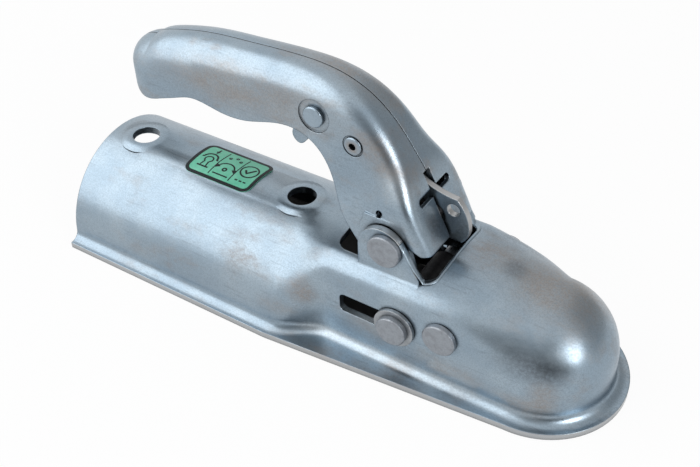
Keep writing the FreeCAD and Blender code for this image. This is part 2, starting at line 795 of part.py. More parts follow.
def build_pieces():
    left_handle = handle_half()
    rivet_seat = grip_half_width
    ear_seat = ear_half_width + head_gap
    washer_seat = wall_half_width + washer_gap
    slide_seat = washer_seat + washer_thickness
    spacer_start = catch_thickness / 2 + catch_side_gap
    stop_seat = rivet_seat - rivet_dish_depth
    roller_bore = slide_pin_radius + running_clearance
    half = roller_half_width
    pieces = {
        "housing_shell": housing_shell(),
        "instruction_label": instruction_label(),
        "handle_pin": headed_pin(handle_pivot, pivot_pin_radius, ear_seat, pin_head_radius, pin_head_height),
        "jaw_pin": headed_pin(jaw_place, jaw_pin_radius, wall_half_width, pin_head_radius, pin_head_height),
        "handle_left": left_handle,
        "handle_right": mirrored(left_handle),
        "stop_rivet": headed_pin(stop_rivet, rivet_radius, stop_seat, stop_head_radius, stop_head_height),
        "catch_rivet": hollow_rivet(catch_pivot, rivet_seat),
        "catch_spring": catch_spring(),
        "safety_catch": safety_catch(),
        "slide_pin": headed_pin(slide_place, slide_pin_radius, slide_seat, slide_head_radius,
                                slide_head_height),
        "slide_roller": cross_ring(slide_place, roller_bore, roller_radius, -half, half),
        "ball_jaw": ball_jaw(),
    }
    for name, side in (("left", -1), ("right", 1)):

        def across(place, inner, outer, near, far):
            low, high = sorted((side * near, side * far))
            return cross_ring(place, inner, outer, low, high)

        bore = slide_pin_radius + tight_clearance
        pieces["slide_washer_" + name] = across(slide_place, bore, washer_radius, washer_seat, slide_seat)
        bore = pivot_pin_radius + tight_clearance
        outer = pivot_pin_radius + spacer_wall
        far = arm_inner - spacer_gap
        pieces["pivot_spacer_" + name] = across(handle_pivot, bore, outer, spacer_start, far)
        bore = jaw_pin_radius + tight_clearance
        outer = jaw_pin_radius + bush_wall
        near = jaw_half_width + 2 * end_gap
        pieces["jaw_bush_" + name] = across(jaw_place, bore, outer, near, arm_half_width - 2 * end_gap)
        pieces["closing_spring_" + name] = closing_spring(side)
    return pieces


os.makedirs("parts", exist_ok=True)

for name, shape in build_pieces().items():
    placed = shape.copy()
    placed.translate(Vector(-housing_length / 2, 0, 0))
    placed.exportStep("parts/" + name + ".step")
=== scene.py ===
"""Looks of the trailer coupling head: zinc-plated pressed steel on a white floor.

Lengths are in metres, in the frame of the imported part: +X towards the nose, +Z up,
and the camera looks from the near side, -Y.
"""

import math

import bmesh
import bpy
from mathutils import Matrix, Vector
from mathutils.kdtree import KDTree


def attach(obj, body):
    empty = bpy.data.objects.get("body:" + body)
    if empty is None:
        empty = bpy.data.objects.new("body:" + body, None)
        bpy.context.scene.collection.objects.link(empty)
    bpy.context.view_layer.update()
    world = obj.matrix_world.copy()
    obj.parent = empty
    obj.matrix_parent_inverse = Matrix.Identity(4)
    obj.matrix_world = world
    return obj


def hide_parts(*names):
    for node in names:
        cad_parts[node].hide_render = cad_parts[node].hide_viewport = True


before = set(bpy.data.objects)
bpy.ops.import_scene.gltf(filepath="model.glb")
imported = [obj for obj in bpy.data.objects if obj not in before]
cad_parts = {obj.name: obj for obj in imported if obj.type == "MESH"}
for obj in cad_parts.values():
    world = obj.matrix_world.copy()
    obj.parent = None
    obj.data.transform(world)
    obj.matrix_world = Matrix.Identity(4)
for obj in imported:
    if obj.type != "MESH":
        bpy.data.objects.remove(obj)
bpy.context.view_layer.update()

mm = 0.001

# Camera, as fitted to the photograph
camera_azimuth = math.radians(34.05)
camera_elevation = math.radians(40.53)
camera_roll = math.radians(-1.85)
camera_distance = 0.4273
camera_target = Vector((0.00081, 0.0, 0.03247))
camera_lens = 52.65
camera_sensor = 36.0
camera_clip_start = 0.01


def make_camera():
    back = Vector((
        math.sin(camera_azimuth) * math.cos(camera_elevation),
        -math.cos(camera_azimuth) * math.cos(camera_elevation),
        math.sin(camera_elevation),
    ))
    right = Vector((math.cos(camera_azimuth), math.sin(camera_azimuth), 0.0))
    up = back.cross(right)
    rolled_right = right * math.cos(camera_roll) + up * math.sin(camera_roll)
    rolled_up = up * math.cos(camera_roll) - right * math.sin(camera_roll)
    data = bpy.data.cameras.new("camera")
    data.lens = camera_lens
    data.sensor_width = camera_sensor
    data.sensor_fit = "HORIZONTAL"
    data.clip_start = camera_clip_start
    camera = bpy.data.objects.new("camera", data)
    axes = Matrix((rolled_right, rolled_up, back)).transposed().to_4x4()
    camera.matrix_world = Matrix.Translation(camera_target + back * camera_distance) @ axes
    bpy.context.scene.collection.objects.link(camera)
    bpy.context.scene.camera = camera


class Graph:
    """Short names for the nodes of one node tree."""

    def __init__(self, tree):
        self.nodes = tree.nodes
        self.links = tree.links

    def set(self, socket, value):
        if isinstance(value, bpy.types.NodeSocket):
            self.links.new(value, socket)
        else:
            socket.default_value = value

    def math(self, operation, first, second=0.0):
        node = self.nodes.new("ShaderNodeMath")
        node.operation = operation
        self.set(node.inputs[0], first)
        self.set(node.inputs[1], second)
        return node.outputs[0]

    def ramp(self, value, start, end, low=0.0, high=1.0):
        node = self.nodes.new("ShaderNodeMapRange")
        node.interpolation_type = "SMOOTHSTEP"
        for name, number in (("From Min", start), ("From Max", end), ("To Min", low), ("To Max", high)):
            node.inputs[name].default_value = number
        self.set(node.inputs["Value"], value)
        return node.outputs["Result"]

    def mix(self, share, first, second):
        node = self.nodes.new("ShaderNodeMix")
        node.data_type = "RGBA"
        for index, value in ((0, share), (6, first), (7, second)):
            self.set(node.inputs[index], value)
        return node.outputs[2]

    def place(self):
        return self.nodes.new("ShaderNodeTexCoord").outputs["Object"]

    def split(self, vector):
        node = self.nodes.new("ShaderNodeSeparateXYZ")
        self.links.new(vector, node.inputs[0])
        return node.outputs

    def noise(self, size, detail=3.0, stretch=(1.0, 1.0, 1.0), shift=0.0, roughness=0.55):
        """Noise whose features measure about size along each axis, times stretch."""
        mapping = self.nodes.new("ShaderNodeMapping")
        mapping.inputs["Scale"].default_value = [1.0 / (size * share) for share in stretch]
        mapping.inputs["Location"].default_value = (shift, shift, shift)
        self.links.new(self.place(), mapping.inputs["Vector"])
        node = self.nodes.new("ShaderNodeTexNoise")
        node.inputs["Scale"].default_value = 1.0
        node.inputs["Detail"].default_value = detail
        node.inputs["Roughness"].default_value = roughness
        self.links.new(mapping.outputs[0], node.inputs["Vector"])
        return node.outputs["Fac"]

    def near(self, spot, radii):
        """1 within a fifth of the radii of a spot, falling to 0 at the radii, all in mm."""
        shift = self.nodes.new("ShaderNodeVectorMath")
        shift.operation = "SUBTRACT"
        self.links.new(self.place(), shift.inputs[0])
        shift.inputs[1].default_value = [share * mm for share in spot]
        scale = self.nodes.new("ShaderNodeVectorMath")
        scale.operation = "DIVIDE"
        self.links.new(shift.outputs[0], scale.inputs[0])
        scale.inputs[1].default_value = [share * mm for share in radii]
        length = self.nodes.new("ShaderNodeVectorMath")
        length.operation = "LENGTH"
        self.links.new(scale.outputs[0], length.inputs[0])
        return self.ramp(length.outputs["Value"], 0.2, 1.0, 1.0, 0.0)

    def gap_shade(self, reach):
        """1 on open faces, falling towards 0 in gaps narrower than the reach, as a mask for painted
        shade.
        """
        node = self.nodes.new("ShaderNodeAmbientOcclusion")
        node.samples = 6
        node.inputs["Distance"].default_value = reach
        return self.ramp(node.outputs["AO"], 0.15, 0.85)

    def bump(self, height, distance, strength=1.0, normal=None):
        node = self.nodes.new("ShaderNodeBump")
        node.inputs["Distance"].default_value = distance
        node.inputs["Strength"].default_value = strength
        self.links.new(height, node.inputs["Height"])
        if normal is not None:
            self.links.new(normal, node.inputs["Normal"])
        return node.outputs["Normal"]


def new_material(name):
    material = bpy.data.materials.new(name)
    material.use_nodes = True
    graph = Graph(material.node_tree)
    return material, graph, material.node_tree.nodes["Principled BSDF"]


def shown_rays(graph):
    """1 for rays that should meet the white studio: camera, glossy and transmission rays."""
    rays = graph.nodes.new("ShaderNodeLightPath")
    seen = graph.math("MAXIMUM", rays.outputs["Is Camera Ray"], rays.outputs["Is Glossy Ray"])
    return graph.math("MAXIMUM", seen, rays.outputs["Is Transmission Ray"])


# The white floor, and the patch of it that the part covers, painted dark as its shade: its rear
# end, the middle of its round nose, its half widths behind and in front of the neck, and where it
# narrows
floor_size = 6.0
floor_drop = 0.2 * mm
floor_glow_share = 0.93
floor_colour = (0.86, 0.87, 0.88, 1)
foot_shade_colour = (0.1, 0.1, 0.1, 1)
foot_rear = -123 * mm
foot_nose = 90.7 * mm
foot_half_widths = (41 * mm, 31 * mm)
foot_taper = (-35 * mm, 25 * mm)
foot_rear_fade = 50 * mm
foot_edge_fade = 1 * mm


def make_floor():
    """A pale floor that glows white to the camera, except under the part, where it is painted dark as
    shade.
    """
    bpy.ops.mesh.primitive_plane_add(size=floor_size, location=(0, 0, -floor_drop))
    floor = bpy.context.object
    floor.name = "floor"
    material, graph, shader = new_material("floor")
    shader.inputs["Roughness"].default_value = 0.9
    glow = graph.nodes.new("ShaderNodeEmission")
    axes = graph.split(graph.place())
    ahead = graph.math("MAXIMUM", graph.math("SUBTRACT", axes[0], foot_nose), 0.0)
    squares = graph.math("ADD", graph.math("POWER", ahead, 2.0), graph.math("POWER", axes[1], 2.0))
    half_width = graph.ramp(axes[0], *foot_taper, *foot_half_widths)
    beside = graph.math("SUBTRACT", graph.math("SQRT", squares), half_width)
    behind = graph.math("SUBTRACT", foot_rear, axes[0])
    outside = graph.ramp(graph.math("MAXIMUM", beside, behind), -foot_edge_fade, foot_edge_fade)
    outside = graph.math("MAXIMUM", outside, graph.ramp(behind, -foot_rear_fade, 0.0))
    # Painted shade: under the part the floor is dark and does not glow
    graph.set(shader.inputs["Base Color"], graph.mix(outside, foot_shade_colour, floor_colour))
    glowing = graph.math("MULTIPLY", shown_rays(graph), outside)
    share = graph.math("MULTIPLY", glowing, floor_glow_share)
    mix = graph.nodes.new("ShaderNodeMixShader")
    graph.links.new(share, mix.inputs["Fac"])
    graph.links.new(shader.outputs[0], mix.inputs[1])
    graph.links.new(glow.outputs[0], mix.inputs[2])
    graph.links.new(mix.outputs[0], graph.nodes["Material Output"].inputs["Surface"])
    floor.data.materials.append(material)


def direction_of(azimuth, elevation):
    """Unit vector towards a place in the studio, from angles in degrees."""
    azimuth = math.radians(azimuth)
    elevation = math.radians(elevation)
    level = math.cos(elevation)
    return Vector((math.cos(azimuth) * level, math.sin(azimuth) * level, math.sin(elevation)))


def dim_zone(graph, azimuth, elevation, full, none, share):
    """A soft round part of the studio walls that is less lit, with radii in degrees."""
    node = graph.nodes.new("ShaderNodeVectorMath")
    node.operation = "DOT_PRODUCT"
    graph.links.new(graph.nodes.new("ShaderNodeTexCoord").outputs["Generated"], node.inputs[0])
    node.inputs[1].default_value = direction_of(azimuth, elevation)
    edges = [math.cos(math.radians(angle)) for angle in (none, full)]
    return graph.ramp(node.outputs["Value"], *edges, 1.0, share)


# Less lit parts of the studio walls, as pressed metal mirrors them: azimuth, elevation, full
# and no effect in degrees from there, and the share of light that is left
camera_side_zone = (-60, 30, 15, 38, 0.38)
below_camera_zone = (-46, 2, 12, 30, 0.1)
nose_side_zone = (48, 20, 25, 58, 0.5)
diffuse_share = 0.5


def make_world():
    """White walls: full to the camera, with dim zones in mirrored rays, half for diffuse light."""
    world = bpy.data.worlds.new("studio")
    bpy.context.scene.world = world
    world.use_nodes = True
    graph = Graph(world.node_tree)
    background = world.node_tree.nodes["Background"]
    background.inputs["Color"].default_value = (1, 1, 1, 1)
    camera_side = dim_zone(graph, *camera_side_zone)
    below_camera = dim_zone(graph, *below_camera_zone)
    nose_side = dim_zone(graph, *nose_side_zone)
    walls = graph.math("MULTIPLY", graph.math("MULTIPLY", camera_side, below_camera), nose_side)
    rays = graph.nodes.new("ShaderNodeLightPath")
    other = graph.ramp(shown_rays(graph), 0.0, 1.0, diffuse_share, 1.0)
    reflected = graph.math("MULTIPLY", walls, rays.outputs["Is Glossy Ray"])
    direct = graph.math("MULTIPLY", other, graph.math("SUBTRACT", 1.0, rays.outputs["Is Glossy Ray"]))
    graph.links.new(graph.math("ADD", reflected, direct), background.inputs["Strength"])


# The lip along the front of the window, in mm: its front, the middle and radius of its corner,
# where it lies along the ears, the length of its steps, its half widths on an ear and in front,
# its half height, and between which distances from the middle plane it widens
lip_front = 51.6
lip_corner = (46.2, 15.2, 5.4)
lip_ear = 21.5
lip_ear_run = (38.0, 40.0, 42.0, 44.0)
lip_step = 1.6
lip_half_widths = (1.5, 0.75)
lip_half_height = 0.42
lip_widening = (16, 20)
lip_corners = 12
above_part = 100


def add_window_lip():
    """The turned lip that leads from one ear round the front of the window to the other."""
    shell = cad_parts["housing_shell"]
    route = [(x, -lip_ear) for x in lip_ear_run]
    route += arc((lip_corner[0], -lip_corner[1]), lip_corner[2], -86, 0, 9)
    half = route + line(route[-1], (lip_front, -lip_step / 2), lip_step)[1:]
    route = half + [(x, -y) for x, y in reversed(half)]
    points = []
    for x, y in route:
        start = Vector((x * mm, y * mm, above_part * mm))
        points.append(shell.ray_cast(start, Vector((0, 0, -1)))[1])
    mesh = bmesh.new()
    rings = []
    for index, point in enumerate(points):
        run = (points[min(index + 1, len(points) - 1)] - points[max(index - 1, 0)]).normalized()
        side = run.cross(Vector((0, 0, 1))).normalized()
        rise = side.cross(run)
        widened = (abs(point.y) / mm - lip_widening[0]) / (lip_widening[1] - lip_widening[0])
        on_ear = min(max(widened, 0.0), 1.0)
        half_width = lip_half_widths[1] + on_ear * (lip_half_widths[0] - lip_half_widths[1])
        ring = []
        for corner in range(lip_corners):
            turn = math.tau * corner / lip_corners
            across = side * math.cos(turn) * half_width * mm
            ring.append(mesh.verts.new(point + across + rise * math.sin(turn) * lip_half_height * mm))
        rings.append(ring)
    for first, second in zip(rings, rings[1:]):
        for corner in range(lip_corners):
            following = (corner + 1) % lip_corners
            corners = (first[corner], second[corner], second[following], first[following])
            mesh.faces.new(corners).smooth = True
    mesh.faces.new(rings[0])
    mesh.faces.new(reversed(rings[-1]))
    bmesh.ops.recalc_face_normals(mesh, faces=mesh.faces)
    piece = bpy.data.objects.new("window_lip", bpy.data.meshes.new("window_lip"))
    bpy.context.scene.collection.objects.link(piece)
    mesh.to_mesh(piece.data)
    mesh.free()
    piece.data.materials.append(zinc_lip)
    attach(piece, "housing")


def calm(node_name, piece_name, body, regions):
    """Stand in for a node with a copy whose shading runs smoothly over box-shaped regions.

    A region has two corners, a reach and a fade in mm, and a likeness. Each normal in the box is
    averaged with those within reach that are at least so like it (as a cosine), and the averaging
    fades out over the last millimetres inside the box.
    """
    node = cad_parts[node_name]
    mesh = node.data.copy()
    mesh.name = piece_name
    piece = bpy.data.objects.new(piece_name, mesh)
    bpy.context.scene.collection.objects.link(piece)
    places = [vertex.co.copy() for vertex in mesh.vertices]
    normals = [None] * len(places)
    for corner, normal in zip(mesh.loops, mesh.corner_normals):
        if normals[corner.vertex_index] is None:
            normals[corner.vertex_index] = normal.vector.copy()
    tree = KDTree(len(places))
    for index, place in enumerate(places):
        tree.insert(place, index)
    tree.balance()
    calmed = list(normals)
    for low, high, reach, fade, likeness in regions:
        for index, place in enumerate(places):
            depths = [place[axis] / mm - low[axis] for axis in range(3)]
            depths += [high[axis] - place[axis] / mm for axis in range(3)]
            depth = min(depths)
            if depth <= 0.0 or normals[index] is None:
                continue
            total = Vector((0.0, 0.0, 0.0))
            for _, other, distance in tree.find_range(place, reach * min(depth / fade, 1.0) * mm):
                if normals[other] is not None and normals[other].dot(normals[index]) > likeness:
                    total += normals[other] * (1.0 - distance / ((reach + 1) * mm))
            if total.length > 0:
                calmed[index] = total.normalized()
    mesh.normals_split_custom_set_from_vertices([normal or Vector((0, 0, 1)) for normal in calmed])
    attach(piece, body)
    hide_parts(node_name)
    for slot in piece.material_slots:
        slot.material = finishes[node_name]


def area_light(name, azimuth, elevation, distance, size, radiance):
    """A softbox in a direction given in degrees, facing the part."""
    direction = direction_of(azimuth, elevation)
    data = bpy.data.lights.new(name, "AREA")
    data.shape = "ELLIPSE"
    data.size = size[0]
    data.size_y = size[1]
    data.energy = radiance * math.pi * (math.pi * size[0] * size[1] / 4)
    light = bpy.data.objects.new(name, data)
    light.location = direction * distance
    light.rotation_euler = (-direction).to_track_quat("-Z", "Y").to_euler()
    light.visible_camera = False
    bpy.context.scene.collection.objects.link(light)


# Colours of the metal
cool_zinc = (0.265, 0.34, 0.408, 1)
pale_zinc = (0.35, 0.425, 0.485, 1)
# Dark zinc, for the streaks and the fine grain, and for spots of painted shade
dark_grain_and_shade_zinc = (0.14, 0.165, 0.19, 1)
warm_zinc = (0.31, 0.29, 0.275, 1)
# A painted highlight colour, for bright bands along fillets and ridges
painted_highlight_zinc = (0.5, 0.57, 0.62, 1)
brown_zinc = (0.27, 0.235, 0.21, 1)
stain_zinc = (0.17, 0.135, 0.11, 1)
bare_edge = (0.45, 0.45, 0.45, 1)
# Unlit zinc: the colour of painted shade, in gaps and on inner faces
unlit_zinc = (0.03, 0.034, 0.038, 1)
pin_grey = (0.305, 0.33, 0.362, 1)
pin_dark = (0.2, 0.205, 0.22, 1)
washer_grey = (0.36, 0.38, 0.4, 1)
washer_dark = (0.24, 0.25, 0.26, 1)
# Inner parts, near black as painted shade for the dark inside of the housing
painted_shade_inner_grey = (0.07, 0.07, 0.075, 1)
painted_shade_inner_dark = (0.03, 0.03, 0.03, 1)

# Sizes of what the zinc coat and the pins show, and how narrow a gap has to be to get painted shade
cloud_size = 22 * mm
patch_size = 11 * mm
streak_size = 1.1 * mm
streak_stretch = (14.0, 1.0, 1.0)
speck_size = 1.3 * mm
fine_size = 0.55 * mm
dent_size = 2.6 * mm
pit_size = 0.7 * mm
sheet_shade_reach = 3.5 * mm
pin_shade_reach = 3 * mm


def zinc(name, seed, stains_and_painted_light=(), warmth=0.35, rough=0.3, edge_band=None, inside=None, grain=1.0,
         bevel=0.5, blends=()):
    """Zinc plating: blue-grey, with duller warm patches, streaks along X and a fine grain.

    Each stain, painted highlight or painted shade is a spot, its radii in mm, its strength, how far it
    spreads and its colour; each blend is a spot where edges are softened over more millimetres.
    edge_band and inside are masks of cut edges and of inner faces, the inner faces taking painted
    shade. Narrow gaps take painted shade too. Each ramp fades in between two noise values.
    """
    material, graph, shader = new_material(name)
    shader.inputs["Metallic"].default_value = 1.0
    clouds = graph.noise(cloud_size, 4.0, shift=seed)
    patches = graph.noise(patch_size, 6.0, (1.8, 1.0, 1.0), seed + 3.1, 0.68)
    streaks = graph.noise(streak_size, 3.0, streak_stretch, seed + 5.7)
    fine = graph.noise(fine_size, 2.0, shift=seed + 9.3)
    specks = graph.noise(speck_size, 5.0, shift=seed + 12.9, roughness=0.75)
    colour = graph.mix(graph.ramp(clouds, 0.35, 0.68, 0.1, 0.8), cool_zinc, pale_zinc)
    colour = graph.mix(graph.ramp(patches, 0.5, 0.72, 0.0, warmth), colour, warm_zinc)
    colour = graph.mix(graph.ramp(streaks, 0.56, 0.78, 0.0, 0.35 * grain), colour, dark_grain_and_shade_zinc)
    colour = graph.mix(graph.ramp(streaks, 0.22, 0.42, 0.25 * grain, 0.0), colour, pale_zinc)
    colour = graph.mix(graph.ramp(specks, 0.6, 0.78, 0.0, 0.4 * grain), colour, stain_zinc)
    for spot, radii, strength, reach, tint in stains_and_painted_light:
        spread = graph.ramp(patches, 0.5 - reach, 0.62, 0.1, 1.0)
        broken = graph.math("MULTIPLY", graph.near(spot, radii), spread)
        speckled = graph.math("MULTIPLY", broken, graph.ramp(specks, 0.36, 0.6, 0.55, 1.0))
        colour = graph.mix(graph.math("MULTIPLY", speckled, strength), colour, tint)
    colour = graph.mix(graph.ramp(fine, 0.35, 0.7, 0.0, 0.3 * grain), colour, dark_grain_and_shade_zinc)
    if edge_band is not None:
        colour = graph.mix(edge_band(graph), colour, bare_edge)
    if inside is not None:
        # Painted shade: inner faces darken towards unlit zinc
        colour = graph.mix(inside(graph), colour, unlit_zinc)
    # Painted shade: narrow gaps and hollows darken towards unlit zinc
    colour = graph.mix(graph.gap_shade(sheet_shade_reach), unlit_zinc, colour)
    graph.set(shader.inputs["Base Color"], colour)
    dull = graph.math("ADD", graph.ramp(patches, 0.42, 0.75, rough, rough + 0.13),
                      graph.ramp(fine, 0.3, 0.7, -0.03, 0.04))
    graph.set(shader.inputs["Roughness"], dull)
    soft_edges = graph.nodes.new("ShaderNodeBevel")
    soft_edges.samples = 8
    soft_edges.inputs["Radius"].default_value = bevel * mm
    if blends:
        radius = bevel * mm
        for spot, radii, softness in blends:
            softer = graph.math("MULTIPLY", graph.near(spot, radii), softness * mm)
            radius = graph.math("ADD", softer, radius)
        graph.set(soft_edges.inputs["Radius"], radius)
    waves = graph.bump(clouds, 0.2 * mm, 0.25, soft_edges.outputs[0])
    scores = graph.bump(streaks, 0.03 * mm, 0.5 * grain, waves)
    graph.set(shader.inputs["Normal"], graph.bump(fine, 0.022 * mm, 0.7 * grain, scores))
    return material


# The cut edges of the housing: heights at which the foot's edge fades out and the ears start,
# the middle plane of an ear and how far from it its edge fades out
foot_edge_heights = (2.7 * mm, 3.1 * mm)
ear_heights = (46 * mm, 47 * mm)
ear_middle = 21.55 * mm
ear_edge = (1.6 * mm, 1.8 * mm)


def sheet_edge(graph):
    """The cut edges of the sheet, round the foot of the housing and along its ears."""
    across, height = graph.split(graph.place())[1:]
    normal = graph.split(graph.nodes.new("ShaderNodeNewGeometry").outputs["True Normal"])
    upright = graph.ramp(graph.math("ABSOLUTE", normal[2]), 0.35, 0.6, 1.0, 0.0)
    foot = graph.math("MULTIPLY", upright, graph.ramp(height, *foot_edge_heights, 0.8, 0.0))
    endwise = graph.ramp(graph.math("ABSOLUTE", normal[1]), 0.3, 0.6, 1.0, 0.0)
    off_ear = graph.math("ABSOLUTE", graph.math("SUBTRACT", graph.math("ABSOLUTE", across), ear_middle))
    on_ear = graph.math("MULTIPLY", graph.ramp(off_ear, *ear_edge, 1.0, 0.0),
                        graph.ramp(height, *ear_heights, 0.0, 0.9))
    return graph.math("MAXIMUM", foot, graph.math("MULTIPLY", endwise, on_ear))


def plate_edge(graph):
    """The cut edges of an upright plate along X."""
    normal = graph.split(graph.nodes.new("ShaderNodeNewGeometry").outputs["True Normal"])
    return graph.ramp(graph.math("ABSOLUTE", normal[1]), 0.3, 0.6, 0.9, 0.0)


# Half the width of the seam between the half shells, from dark to bare metal, and how far a
# face looks inwards to get painted shade: its distance from the middle plane times its slant towards it
seam_half_width = (0.16 * mm, 0.34 * mm)
handle_inward = (-12 * mm, -2 * mm)


def seam_and_inner_shade(graph):
    """The dark seam between the half shells, and painted shade on their inner sides."""
    across = graph.split(graph.place())[1]
    normal = graph.split(graph.nodes.new("ShaderNodeNewGeometry").outputs["True Normal"])
    seam = graph.ramp(graph.math("ABSOLUTE", across), *seam_half_width, 0.85, 0.0)
    inward = graph.ramp(graph.math("MULTIPLY", normal[1], across), *handle_inward, 0.92, 0.0)
    return graph.math("MAXIMUM", seam, inward)


# The long axis that the inner side of the housing faces, the heights where its top begins, and
# how far a face looks inwards, for the shade painted on that side
inner_axis_height = 5 * mm
inner_top = (44 * mm, 46 * mm)
housing_inward = (-8 * mm, -2 * mm)


def painted_inner_shade(graph):
    """The inner side of the housing, whose faces look towards its long axis, where shade is painted."""
    across, height = graph.split(graph.place())[1:]
    normal = graph.split(graph.nodes.new("ShaderNodeNewGeometry").outputs["True Normal"])
    sideways = graph.math("MULTIPLY", normal[1], across)
    upwards = graph.math("MULTIPLY", normal[2], graph.math("SUBTRACT", height, inner_axis_height))
    outward = graph.math("ADD", sideways, upwards)
    below = graph.ramp(height, *inner_top, 1.0, 0.0)
    return graph.math("MULTIPLY", graph.ramp(outward, *housing_inward, 0.92, 0.0), below)


def steel(name, seed, colour, dark, rough):
    """Dull headed pins: grey, with pits and dents of the upset heads."""
    material, graph, shader = new_material(name)
    shader.inputs["Metallic"].default_value = 1.0
    dents = graph.noise(dent_size, 3.0, shift=seed)
    pits = graph.noise(pit_size, 3.0, shift=seed + 4.2)
    tone = graph.mix(graph.ramp(dents, 0.25, 0.6, 0.45, 1.0), dark, colour)
    tone = graph.mix(graph.ramp(pits, 0.6, 0.8, 0.0, 0.35), tone, dark)
    # Painted shade: narrow gaps and hollows darken towards unlit zinc
    graph.set(shader.inputs["Base Color"], graph.mix(graph.gap_shade(pin_shade_reach), unlit_zinc, tone))
    graph.set(shader.inputs["Roughness"], graph.ramp(pits, 0.3, 0.7, rough, rough + 0.15))
    soft_edges = graph.nodes.new("ShaderNodeBevel")
    soft_edges.samples = 4
    soft_edges.inputs["Radius"].default_value = 0.5 * mm
    hollow = graph.bump(dents, 0.35 * mm, 0.6, soft_edges.outputs[0])
    graph.set(shader.inputs["Normal"], graph.bump(pits, 0.04 * mm, 0.7, hollow))
    return material


# Colours of the label, and the sizes of its wear and of the grain of film and ink
film_green = (0.13, 0.53, 0.36, 1)
film_pale = (0.2, 0.61, 0.44, 1)
film_dark = (0.09, 0.36, 0.27, 1)
ink_black = (0.012, 0.016, 0.018, 1)
ink_worn = (0.05, 0.075, 0.07, 1)
film_wear_size = 5 * mm
film_grain_size = 0.5 * mm
ink_grain_size = 0.6 * mm


def label_film():
    """The green film: slightly uneven, with a fine grain."""
    material, graph, shader = new_material("label_film")
    wear = graph.noise(film_wear_size, 5.0, shift=2.0, roughness=0.65)
    fine = graph.noise(film_grain_size, 2.0, shift=7.0)
    colour = graph.mix(graph.ramp(wear, 0.35, 0.7), film_green, film_pale)
    colour = graph.mix(graph.ramp(fine, 0.62, 0.8, 0.0, 0.35), colour, film_dark)
    graph.set(shader.inputs["Base Color"], colour)
    graph.set(shader.inputs["Roughness"], graph.ramp(wear, 0.3, 0.7, 0.38, 0.5))
    graph.set(shader.inputs["Normal"], graph.bump(fine, 0.01 * mm, 0.5))
    return material


def label_ink():
    """Black ink, thinner in small spots."""
    material, graph, shader = new_material("label_ink")
    fine = graph.noise(ink_grain_size, 3.0, shift=1.0)
    colour = graph.mix(graph.ramp(fine, 0.55, 0.8), ink_black, ink_worn)
    graph.set(shader.inputs["Base Color"], colour)
    graph.set(shader.inputs["Roughness"], graph.ramp(fine, 0.3, 0.7, 0.5, 0.62))
    shader.inputs["Specular IOR Level"].default_value = 0.25
    return material


# Where the label lies on the crown of the tube, and the ink's foot and top above the film
label_axis_height = 4.2 * mm
label_radius = 38.7 * mm
label_start = -80.35 * mm
label_end = -44.85 * mm
label_near = math.radians(-15.2) * label_radius
label_far = math.radians(18.0) * label_radius
ink_lift = (0.01 * mm, 0.05 * mm)

# Layout of the label in mm from its middle: its border, and the lines between its three panels
label_corner = 4.0
label_border = 1.7
panel_lines = (-5.2, 5.6)
panel_half_height = 8.4
ball_panel = -10.4
swing_panel = 0.2
tick_panel = 10.7


def arc(centre, radius, start, end, steps):
    """Points of an arc, with angles in degrees."""
    points = []
    for step in range(steps + 1):
        angle = math.radians(start + (end - start) * step / steps)
        points.append((centre[0] + radius * math.cos(angle), centre[1] + radius * math.sin(angle)))
    return points


def line(start, end, longest=1.2):
    """Points of a straight run, close enough together to follow the tube."""
    steps = max(1, math.ceil(math.dist(start, end) / longest))
    return [tuple(a + (b - a) * step / steps for a, b in zip(start, end)) for step in range(steps + 1)]


def round_frame(low, high, corner):
    """Closed run round a rectangle with round corners."""
    points = []
    centres = ((high[0] - corner, high[1] - corner), (low[0] + corner, high[1] - corner),
               (low[0] + corner, low[1] + corner), (high[0] - corner, low[1] + corner))
    for turn, centre in enumerate(centres):
        bend = arc(centre, corner, 90 * turn, 90 * turn + 90, 6)
        if points:
            points += line(points[-1], bend[0])[1:-1]
        points += bend
    return points + line(points[-1], points[0])[1:-1]


def add_stroke(mesh, points, widths, closed=False):
    """A raised line of ink along points in millimetres from the label's middle."""
    middle = ((label_start + label_end) / 2, (label_near + label_far) / 2)
    count = len(points)
    rings = []
    for index, point in enumerate(points):
        before = points[index - 1] if closed or index else point
        after = points[(index + 1) % count] if closed or index + 1 < count else point
        run = Vector(after) - Vector(before)
        side = Vector((-run.y, run.x)).normalized() * widths[min(index, len(widths) - 1)] / 2
        ring = []
        for place, lift in ((side, 1), (-side, 1), (-side, 0), (side, 0)):
            across = middle[1] + (point[1] + place.y) * mm
            radius = label_radius + ink_lift[lift]
            angle = across / label_radius
            ring.append(mesh.verts.new((
                middle[0] + (point[0] + place.x) * mm,
                radius * math.sin(angle),
                label_axis_height + radius * math.cos(angle),
            )))
        rings.append(ring)
    spans = list(zip(rings, rings[1:]))
    if closed:
        spans.append((rings[-1], rings[0]))
    for first, second in spans:
        for corner in range(4):
            following = (corner + 1) % 4
            mesh.faces.new((first[corner], second[corner], second[following], first[following]))
    if not closed:
        mesh.faces.new(rings[0])
        mesh.faces.new(reversed(rings[-1]))


def add_arrow(mesh, points, width, head, both=False):
    """A stroke that ends in a pointed head."""
    add_stroke(mesh, points, (width,))
    ends = [(points[-1], points[-2])] + ([(points[0], points[1])] if both else [])
    for tip, back in ends:
        run = (Vector(tip) - Vector(back)).normalized()
        base = Vector(tip) - run * 0.1
        add_stroke(mesh, [tuple(base), tuple(base + run * head * 0.5), tuple(base + run * head)],
                   (head, head * 0.5, 0.04))


